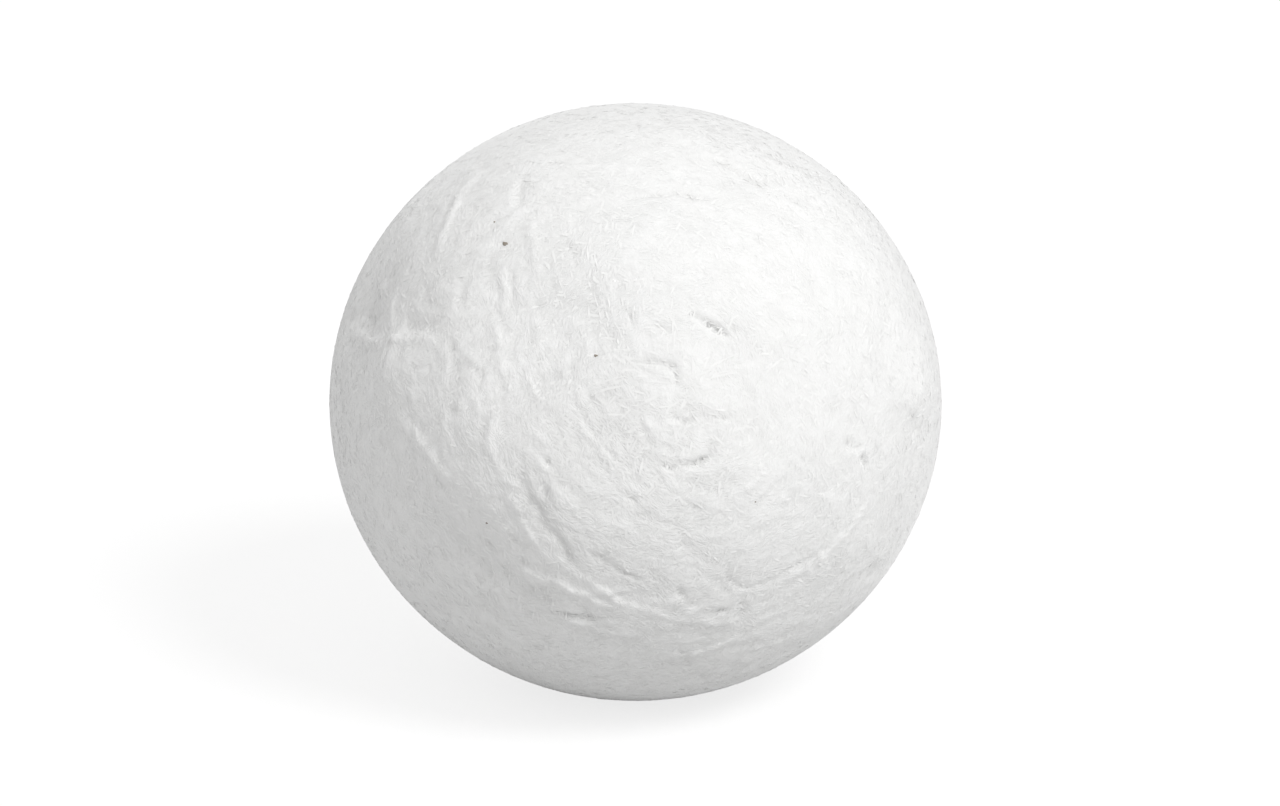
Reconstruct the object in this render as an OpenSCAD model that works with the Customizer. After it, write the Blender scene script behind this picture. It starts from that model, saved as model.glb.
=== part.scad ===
// Cotton ball: one wad of carded cotton, wound into a ball. The lips of its wisps, its
// creases and its soft bulges are in the surface, and it has settled on a small flat spot.
// It is one piece, so the part is one closed solid. Millimetres, +Z up, with the origin in
// the middle of the flat spot. The whorled face looks forward, along -Y, and a little up.

/* [Ball] */
// Overall width, left to right
ball_width = 35; // [25:0.5:50]
// Overall depth, front to back
ball_depth = 35; // [25:0.5:50]
// Overall height, from the flat spot to the top
ball_height = 33.7; // [24:0.1:50]
// Diameter of the flat spot that the soft ball has settled on
rest_flat_d = 7; // [4:0.5:12]

/* [Winding] */
// How far the whorled face looks up from level, in degrees
face_tilt = 18; // [0:1:45]
// The whorl's place on its face, to the right of the middle
whorl_right = 3; // [-8:0.5:8]
// The whorl's place on its face, above the middle
whorl_up = 0.5; // [-8:0.5:8]
// Number of raised wisps that the winding shows, all over the ball
wisp_count = 170; // [20:1:240]
// Height of the tallest wisp's lip, from its crest to the foot beside it
wisp_lip = 0.28; // [0:0.01:0.5]
// Width of a wisp's lip, from its crest to its foot
wisp_width = 0.8; // [0.6:0.05:1.5]
// Length of the shortest wisp
wisp_short = 4; // [3:0.5:12]
// Length of the longest wisp
wisp_long = 18; // [13:0.5:40]
// Slant of a wisp across the winding, in degrees either way
wisp_slant = 13; // [0:1:20]

/* [Creases and bulges] */
// Depth of the deepest crease in the face
crease_depth = 0.6; // [0:0.05:1]
// Half-width of the widest crease in the face
crease_half = 0.55; // [0.4:0.05:1]
// Height of the tallest ridge on the face
ridge_height = 0.35; // [0:0.05:0.8]
// Half-width of the widest ridge on the face
ridge_half = 0.5; // [0.4:0.05:1]
// Height of the tallest broad bulge, and depth of the deepest hollow
bulge_height = 0.3; // [0:0.05:0.6]
// Width of the belt round the face's edge, where the winding is drawn tight and smooth
belt_width = 7; // [1:0.5:12]

/* [Hidden] */

// Rings of points from the whorl to the far side, and points round each ring. The rings
// crowd together a little on the whorled face, where the relief is finest.
rings = 88;
around = 64;
crowding = 1.15;

// The golden angle: places that follow each other by it spread evenly and never line up
golden_turn = 137.5;

// A bell curve is flat beyond this many of its widths
bell_reach = 2.5;

// Share of the relief that the belt takes away
belt_calm = 0.8;

// The middle of the ball, before the flat spot takes its lowest part away
flat_share = sqrt(1 - pow(rest_flat_d / ball_width, 2));
half_height = ball_height / (1 + flat_share);
sunk = half_height * (1 - flat_share);
mean_r = (ball_width + ball_depth + 2 * half_height) / 6;

// The whorled face, squarely seen: what is right, up and out on it
face_right = [1, 0, 0];
face_up = [0, sin(face_tilt), cos(face_tilt)];
face_out = [0, -cos(face_tilt), sin(face_tilt)];

// Ridges of the face: share of the full height, share of the full half-width, and the route
// of the crest as [right, up] from the middle of the face, in thousandths of the ball's width
face_ridges = [
    [1.0, 0.9, [[-229, -71], [-223, -114], [-200, -151], [-169, -189], [-140, -229], [-103, -269]]],
    [0.7, 0.8, [[-103, -269], [-51, -303], [0, -326], [51, -337]]],
    [0.7, 0.8, [[-194, -271], [-143, -289], [-94, -309], [-34, -331]]],
    [1.0, 1.0, [[-449, 123], [-434, 103], [-394, 103], [-343, 103], [-303, 106]]],
    [0.6, 0.8, [[-394, 171], [-389, 120]]],
    [0.6, 1.0, [[-306, 100], [-300, 51], [-283, -6]]],
    [0.6, 0.8, [[-351, -46], [-334, -77], [-306, -123]]],
    [0.5, 0.8, [[-300, 311], [-306, 269]]],
    [0.6, 0.9, [[-166, 294], [-154, 260], [-151, 214]]],
    [0.5, 0.8, [[-166, 143], [-154, 109], [-149, 77]]],
    [0.6, 0.8, [[-277, -271], [-254, -294], [-223, -303]]],
    [0.5, 0.8, [[74, -400], [117, -391], [149, -377]]],
];

// Creases of the face, in the same way
face_creases = [
    [0.9, 1.1, [[-177, -98], [-169, -131], [-155, -159], [-126, -199], [-104, -226], [-90, -262]]],
    [0.5, 0.8, [[-117, -346], [-80, -354], [-46, -351]]],
    [0.4, 0.8, [[-26, -269], [3, -283], [29, -291]]],
    [0.5, 0.8, [[157, -246], [149, -271], [160, -294], [186, -300], [214, -294], [277, -257]]],
    [0.6, 0.8, [[94, 143], [117, 134], [146, 117]]],
    [0.4, 0.8, [[11, 69], [46, 66], [71, 46]]],
    [0.6, 0.8, [[40, -97], [60, -103], [94, -106], [109, -100], [126, -69]]],
    [0.4, 0.8, [[137, 394], [157, 389], [186, 369], [203, 346]]],
    [0.4, 0.8, [[349, -66], [366, -69], [371, -89], [383, -106]]],
    [0.4, 1.0, [[-343, -180], [-300, -231], [-257, -257]]],
];

// Hollows, with a negative share, and then broad bulges: share of the full height, radius
// and place on the face, both in thousandths of the ball's width
face_bulges = [
    [-2.4, 100, [-440, 150]], [-1.0, 60, [-350, 150]], [-0.6, 40, [-375, 105]],
    [-3.0, 110, [-260, -275]], [-0.6, 60, [-220, -180]], [-2.5, 110, [-175, 125]],
    [-0.5, 40, [-160, -190]], [-0.5, 60, [-90, 150]], [-0.9, 90, [-80, -50]],
    [-0.6, 70, [-70, -290]], [-0.5, 40, [10, -310]], [-0.8, 110, [20, -440]],
    [-1.0, 50, [130, 90]], [-1.1, 110, [150, 380]], [-1.1, 110, [250, 60]],
    [-0.5, 50, [250, -150]], [-0.7, 40, [450, -30]],
    [0.7, 50, [-380, 50]], [0.5, 50, [-260, -30]], [0.6, 50, [-240, -160]],
    [0.8, 95, [-270, 300]], [0.7, 90, [-210, 100]], [0.8, 110, [-170, 380]], [0.5, 110, [-120, 250]],
    [0.6, 120, [60, 160]], [0.6, 70, [140, -180]], [0.7, 50, [170, -110]],
    [0.7, 110, [290, -170]], [0.9, 70, [340, -240]], [1.7, 70, [450, 10]],
];

// How many gentle swells the ball has all over, and how broad each is
swell_count = 26;
swell_r = 0.32 * mean_r;

function total(list) = len(list) == 0 ? 0 : list * [for (one = list) 1];
function unit(v) = v / norm(v);
function share_of(n, step) = n * step - floor(n * step);
function smooth(x) = let(c = min(1, max(0, x))) c * c * (3 - 2 * c);
function bell(x) = exp(-x * x);

// The place on a round ball of the mean radius that lies at p on the face
function on_face(p) =
    let(flat = p * ball_width / 1000)
    flat.x * face_right + flat.y * face_up + sqrt(max(0, mean_r * mean_r - flat * flat)) * face_out;

// A row of the lists above as [full height, half-width, route on the ball, middle, reach]
function drawn(row, height, half) =
    let(
        route = [for (p = row[2]) on_face(p)],
        middle = (route[0] + route[len(route) - 1]) / 2,
        reach = max([for (q = route) norm(q - middle)])
    )
    [row[0] * height, row[1] * half, route, middle, reach + bell_reach * row[1] * half];

lines = concat(
    [for (row = face_ridges) drawn(row, ridge_height, ridge_half)],
    [for (row = face_creases) drawn(row, -crease_depth, crease_half)]
);
bulges = concat(
    [for (row = face_bulges) [row[0] * bulge_height, row[1] * ball_width / 1000, on_face(row[2])]],
    [for (n = [0:swell_count - 1])
        let(
            height = 1 - 2 * (n + 0.5) / swell_count,
            turn = n * golden_turn,
            level = sqrt(1 - height * height)
        )
        [(n % 2 - 0.5) * bulge_height, swell_r, mean_r * [level * cos(turn), level * sin(turn), height]]
    ]
);

// The winding goes round this axis: right and up are the start of a turn and a quarter of it
whorl_out = unit(on_face([whorl_right, whorl_up] * 1000 / ball_width));
whorl_side = unit(cross([0, 0, 1], whorl_out));
whorl_top = cross(whorl_out, whorl_side);

// Wisps spread evenly over the ball: [angle from the whorl, angle round it, half-length,
// lip, slant]. The steps by which they differ never repeat, so no two lie alike.
wisps = [for (n = [0:wisp_count - 1]) [
    acos(1 - 2 * (n + 0.5) / wisp_count),
    n * golden_turn,
    (wisp_short + (wisp_long - wisp_short) * pow(share_of(n, 0.618), 2)) / 2,
    wisp_lip / 2 * (0.4 + 0.6 * share_of(n, 0.755)),
    tan(wisp_slant) * (2 * share_of(n, 0.571) - 1)
]];

function segment_gap(q, a, b) =
    let(along = b - a, share = min(1, max(0, (q - a) * along / (along * along))))
    norm(q - a - share * along);
function line_rise(q, line) =
    let(gap = min([for (k = [1:len(line[2]) - 1]) segment_gap(q, line[2][k - 1], line[2][k])]))
    line[0] * bell(gap / line[1]);

// A wisp rises to a crest and drops to a foot, the other way round from the whorl
function wisp_rise(away, turn, wisp) =
    let(
        lag = turn - wisp[1],
        along = mean_r * sin(wisp[0]) * PI / 180 * (lag - 360 * round(lag / 360)),
        across = mean_r * PI / 180 * (away - wisp[0]) - along * wisp[4],
        s = across / (wisp_width / 2)
    )
    -wisp[3] * s * exp((1 - s * s) / 2) * bell(pow(along / wisp[2], 2));

// How much of the relief stays at a direction: little on the belt, none by the flat spot
function relief_share(u) =
    let(
        belt = bell(u * face_out * mean_r / (belt_width / 2)),
        below = acos(-u.z) * PI / 180 * mean_r
    )
    (1 - belt_calm * belt) * smooth((below - rest_flat_d / 2) / rest_flat_d);

function surface_point(away, turn, near) =
    let(
        u = cos(away) * whorl_out + sin(away) * (cos(turn) * whorl_side + sin(turn) * whorl_top),
        q = mean_r * u,
        rise = total([for (line = lines) if (norm(q - line[3]) < line[4]) line_rise(q, line)])
            + total([for (b = bulges)
                if (norm(q - b[2]) < bell_reach * b[1]) b[0] * bell(norm(q - b[2]) / b[1])])
            + total([for (wisp = near) wisp_rise(away, turn, wisp)]),
        grow = 1 + relief_share(u) * rise / mean_r
    )
    grow * [ball_width / 2 * u.x, ball_depth / 2 * u.y, half_height * u.z];

// Only the wisps near a ring can lift it
ring_reach = (3 * wisp_width + wisp_long * tan(wisp_slant)) / mean_r * 180 / PI;
function ring_points(i) =
    let(
        away = 180 * pow(i / rings, crowding),
        near = [for (wisp = wisps) if (abs(away - wisp[0]) < ring_reach) wisp]
    )
    [for (j = [0:around - 1]) surface_point(away, 360 * (j + i % 2 / 2) / around, near)];

wound_points = concat(
    [surface_point(0, 0, [])],
    [for (i = [1:rings - 1]) each ring_points(i)],
    [surface_point(180, 0, [])]
);

// Each axis is fitted to its overall size, so that the named sizes are the measured ones
low = [for (k = [0:2]) min([for (p = wound_points) p[k]])];
high = [for (k = [0:2]) max([for (p = wound_points) p[k]])];
fit = [ball_width / (high.x - low.x), ball_depth / (high.y - low.y), 2 * half_height / (high.z - low.z)];
start = [-ball_width / 2, -ball_depth / 2, -sunk];
ball_points = [for (p = wound_points) [for (k = [0:2]) (p[k] - low[k]) * fit[k] + start[k]]];

function at(i, j) = 1 + (i - 1) * around + j % around;
last = len(ball_points) - 1;
ball_faces = concat(
    [for (j = [0:around - 1]) [0, at(1, j + 1), at(1, j)]],
    [for (i = [1:rings - 2], j = [0:around - 1])
        i % 2 == 0
            ? [at(i, j), at(i, j + 1), at(i + 1, j)]
            : [at(i, j), at(i + 1, j + 1), at(i + 1, j)]],
    [for (i = [1:rings - 2], j = [0:around - 1])
        i % 2 == 0
            ? [at(i, j + 1), at(i + 1, j + 1), at(i + 1, j)]
            : [at(i, j), at(i, j + 1), at(i + 1, j + 1)]],
    [for (j = [0:around - 1]) [last, at(rings - 1, j), at(rings - 1, j + 1)]]
);

// The whole ball, cut level where it rests
module cotton_ball() {
    color("whitesmoke")
    intersection() {
        polyhedron(points = ball_points, faces = ball_faces, convexity = 4);
        translate([-ball_width, -ball_depth, 0])
            cube([2 * ball_width, 2 * ball_depth, 2 * ball_height]);
    }
}

cotton_ball();
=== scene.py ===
# %% [markdown]
# # A cotton ball
# A cotton ball is one wad of carded, bleached cotton, wound up and rolled until it is round.
# The solid comes first and is fixed: its size, its flat spot and its broad forms are packed.
# This lesson winds a finer surface over it, lays loose fibres on that surface, adds the
# flecks of seed coat, and then sets the floor, the camera and the light.

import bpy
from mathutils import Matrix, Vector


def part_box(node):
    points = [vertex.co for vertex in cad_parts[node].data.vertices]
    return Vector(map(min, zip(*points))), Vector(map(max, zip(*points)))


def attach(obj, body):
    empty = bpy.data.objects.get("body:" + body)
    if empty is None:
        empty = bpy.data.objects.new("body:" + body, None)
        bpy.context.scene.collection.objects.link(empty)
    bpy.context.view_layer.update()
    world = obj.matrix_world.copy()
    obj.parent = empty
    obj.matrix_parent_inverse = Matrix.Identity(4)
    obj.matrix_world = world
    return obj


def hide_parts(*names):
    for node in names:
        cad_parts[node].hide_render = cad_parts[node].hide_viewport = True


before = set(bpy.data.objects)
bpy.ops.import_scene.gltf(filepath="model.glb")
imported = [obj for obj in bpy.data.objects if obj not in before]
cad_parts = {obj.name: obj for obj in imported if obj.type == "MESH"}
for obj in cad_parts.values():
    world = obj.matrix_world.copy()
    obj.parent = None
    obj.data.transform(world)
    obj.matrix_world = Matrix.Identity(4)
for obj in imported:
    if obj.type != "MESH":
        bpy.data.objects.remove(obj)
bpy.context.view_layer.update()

# %% [markdown]
# ## Sizes
# Blender works in metres here, but a cotton ball is easier to think of in millimetres. So the
# sums are done in millimetres, from the solid's own box, and each mesh is shrunk once, as it
# is made. The flat spot hides the lowest part of the ball, so its middle lies lower than half
# way up: `half_height` is what half of the ball's height would be without the flat spot.

# %% Sizes from the solid
import math

import bpy
import numpy as np

MM = 0.001
low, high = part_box("cotton_ball")
width, depth, height = ((high[k] - low[k]) / MM for k in range(3))
rest_flat_d = 7.0
flat_share = math.sqrt(1 - (rest_flat_d / width) ** 2)
half_height = height / (1 + flat_share)
half_axes = np.array([width / 2, depth / 2, half_height])
middle = np.array([0, 0, half_height * flat_share])
mean_r = half_axes.mean()
print(f"mean radius {mean_r:.2f} mm, middle {middle[2]:.2f} mm above the bench")

# %% [markdown]
# ## Directions on the ball
# The ball was wound round one axis, and its whorl is where that axis comes out, on the face
# that looks forward and a little up. Every place on the ball gets two coordinates from it, as
# a globe has latitude and longitude: `away` is the angle from the whorl, and `turn` is the
# angle round it. Fibres mostly lie along `turn`, so this pair makes it easy to lay a wisp
# along the winding and to make a pattern that is long one way and short the other.

# %% The whorled face and the winding axis
eye_away = 406.8
face_tilt = math.radians(18)
face_right = np.array([1.0, 0, 0])
face_up = np.array([0, math.sin(face_tilt), math.cos(face_tilt)])
face_out = np.array([0, -math.cos(face_tilt), math.sin(face_tilt)])


def on_face(places):
    """Places [right, up] in mm, as they look from eye_away, set on a round ball of mean_r."""
    seen, near = np.atleast_2d(np.array(places, float)), 0.0
    round_right, round_up, round_out = (way / half_axes for way in (face_right, face_up, face_out))
    for _ in range(4):
        flat = seen * (1 - near / eye_away)
        beside = flat[:, :1] * round_right + flat[:, 1:] * round_up
        lean = beside @ round_out
        depth = lean**2 - round_out @ round_out * ((beside**2).sum(1) - 1)
        near = ((np.sqrt(np.maximum(0, depth)) - lean) / (round_out @ round_out))[:, None]
    return (beside + near * round_out) * mean_r


def as_seen(points):
    """Where points, in mm, look to be from eye_away, as [right, up] from the ball's middle."""
    arm = points - middle
    beside = arm @ np.stack([face_right, face_up], 1)
    return beside * (eye_away / (eye_away - arm @ face_out))[:, None]


def on_plan(share_of_width):
    """The place on the round ball that lies at this plan place, in thousandths of the width."""
    flat = np.array(share_of_width) * width / 1000
    near = math.sqrt(mean_r**2 - flat @ flat)
    return flat[0] * face_right + flat[1] * face_up + near * face_out


whorl_out = on_face([3.0, 0.5])[0] / mean_r
whorl_side = np.cross([0, 0, 1.0], whorl_out)
whorl_side /= np.linalg.norm(whorl_side)
whorl_top = np.cross(whorl_out, whorl_side)


def on_winding(away, turn):
    """Unit directions at these angles from the whorl and round it, in radians."""
    away, turn = np.broadcast_arrays(np.asarray(away, float), np.asarray(turn, float))
    ring = np.cos(turn)[..., None] * whorl_side + np.sin(turn)[..., None] * whorl_top
    return np.cos(away)[..., None] * whorl_out + np.sin(away)[..., None] * ring


# %% [markdown]
# ## The rings
# The surface is a stack of rings round the winding axis. A wisp's lip is only a few tenths of
# a millimetre wide but several millimetres long, so the rings lie close together and the points
# on each ring lie further apart: that puts the triangles where the detail is. Near the two
# poles a ring is short, so it holds fewer points, and each halving is sewn with three
# triangles to a gap. That keeps the triangles from shrinking to slivers at the poles. The
# rings also crowd a little towards the whorl, where the relief is finest.

# %% Lay out the rings and sew them together
ring_gap = 0.172
crowding = 1.22
most_round, least_round = 384, 12
least_gap = 0.147
ring_count = round(math.pi * mean_r / ring_gap)
ring_away = math.pi * (np.arange(1, ring_count) / ring_count) ** crowding


def points_round(away):
    """How many points a ring holds: fewer, by halves, as it gets shorter."""
    count = most_round
    while count > least_round and 2 * math.pi * mean_r * math.sin(away) < least_gap * count:
        count //= 2
    return count


ring_points = [points_round(a) for a in ring_away]
ring_start = np.concatenate([[0], np.cumsum(ring_points)])
away = np.concatenate([np.full(n, a) for n, a in zip(ring_points, ring_away)])
turn = np.concatenate([2 * math.pi * np.arange(n) / n for n in ring_points])
away = np.append(away, [0.0, math.pi])
turn = np.append(turn, [0.0, 0.0])
print(len(ring_points), "rings,", len(away), "points")


def sewn_rings():
    """Triangles and quads between neighbouring rings, and fans at the two poles."""
    faces = []
    tip, tail = len(away) - 2, len(away) - 1
    for i in range(len(ring_points) - 1):
        n, m = ring_points[i], ring_points[i + 1]
        a, b = ring_start[i], ring_start[i + 1]
        if n == m:
            faces += [(a + j, b + j, b + (j + 1) % n, a + (j + 1) % n) for j in range(n)]
        elif n < m:
            for j in range(n):
                p, q = a + j, a + (j + 1) % n
                r, s, t = b + 2 * j, b + 2 * j + 1, b + (2 * j + 2) % m
                faces += [(p, r, s), (p, s, q), (q, s, t)]
        else:
            for j in range(m):
                p, q = b + j, b + (j + 1) % m
                r, s, t = a + 2 * j, a + 2 * j + 1, a + (2 * j + 2) % n
                faces += [(p, s, r), (p, q, s), (q, t, s)]
    n, b = ring_points[0], ring_start[0]
    faces += [(tip, b + j, b + (j + 1) % n) for j in range(n)]
    n, a = ring_points[-1], ring_start[-2]
    faces += [(tail, a + (j + 1) % n, a + j) for j in range(n)]
    return faces


# %% [markdown]
# ## Noise
# Nothing in a wad of fibre is regular, so most of what follows needs smooth random numbers.
# `soft_noise` gives each corner of a grid a seeded random value and blends between corners.
# Read at stretched places it gives streaks, and read at moved places it bends a straight line.

# %% Seeded noise
noise_table = np.random.default_rng(11).uniform(-1, 1, (32, 32, 32))


def soft_noise(places, size, shift=0.0):
    """Smooth noise from -1 to 1, with features about as wide as size."""
    p = np.asarray(places) / size + np.array([5.3, 1.7, 9.1]) + shift
    cell = np.floor(p).astype(int)
    f = p - cell
    f = f * f * (3 - 2 * f)
    total = 0
    for corner in np.ndindex(2, 2, 2):
        at = (cell + corner) % 32
        share = np.prod(np.where(corner, f, 1 - f), axis=-1)
        total = total + share * noise_table[at[..., 0], at[..., 1], at[..., 2]]
    return total


def bell(x):
    """1 at nothing, falling smoothly to about a third at 1 and almost nothing at 2."""
    return np.exp(-x * x)
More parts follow.
